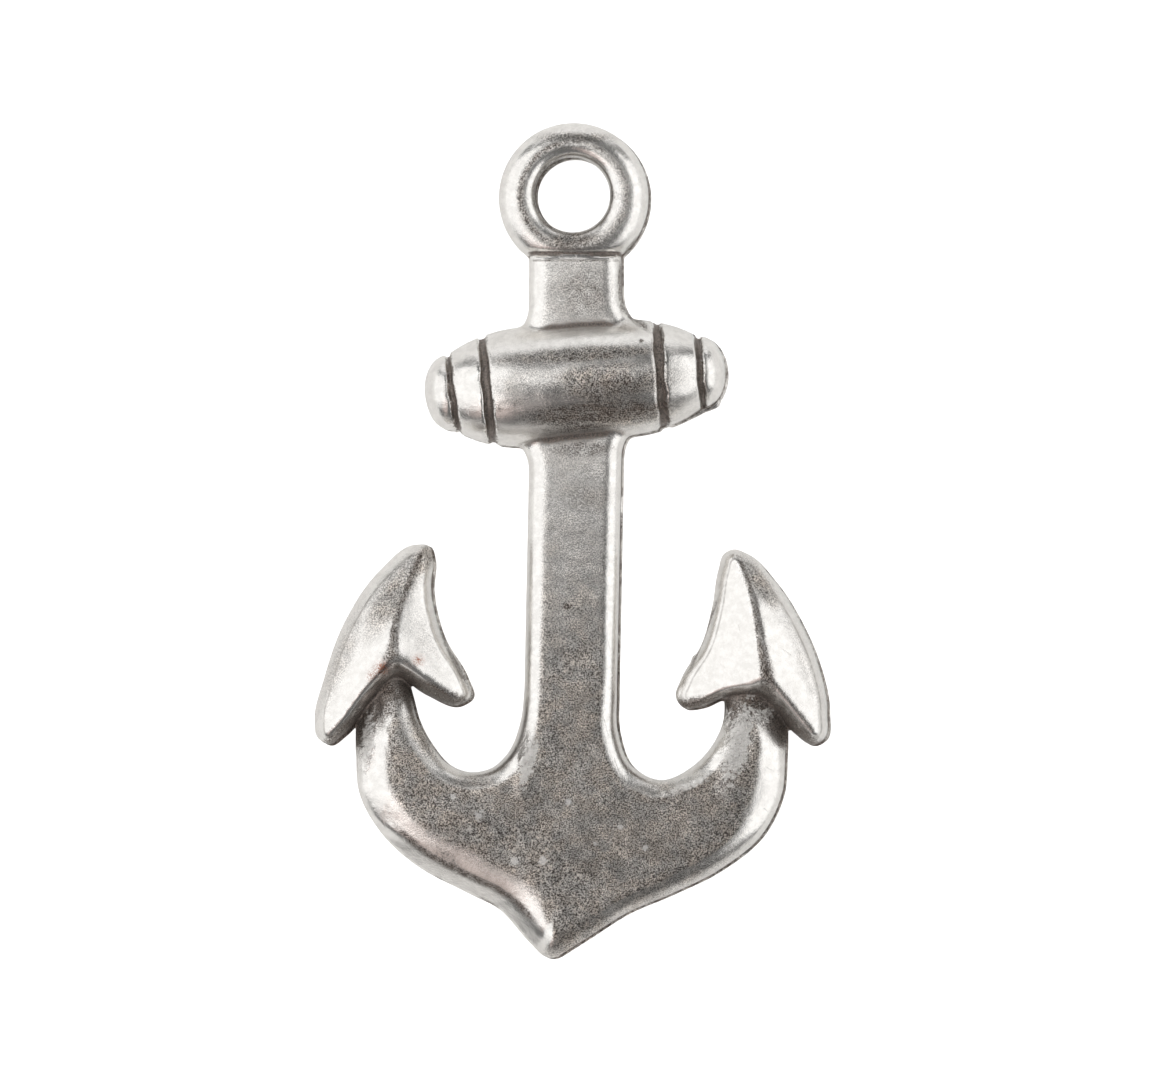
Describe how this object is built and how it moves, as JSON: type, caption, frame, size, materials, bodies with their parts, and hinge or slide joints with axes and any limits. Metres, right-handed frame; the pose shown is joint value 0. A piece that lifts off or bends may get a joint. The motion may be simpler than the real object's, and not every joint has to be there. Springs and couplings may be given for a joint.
{
  "type": "anchor pendant",
  "caption": "Cast anchor pendant with an eye for a ring, a grooved barrel stock, a flat shank and crown, and two barbed flukes.",
  "frame": {"origin": "middle of the pendant's box on the surface that its plain back lies on", "axes": "+Y from the crown's tip to the eye, +Z out of the modelled face, +X to the right of someone who looks at the face"},
  "size_m": [0.0248, 0.04, 0.0041],
  "materials": {
    "casting": "antiqued silver plate on a zinc alloy casting, rubbed bright on the edges and dark in the recesses"
  },
  "bodies": {
    "root": {"anchor": "casting"}
  },
  "joints": []
}
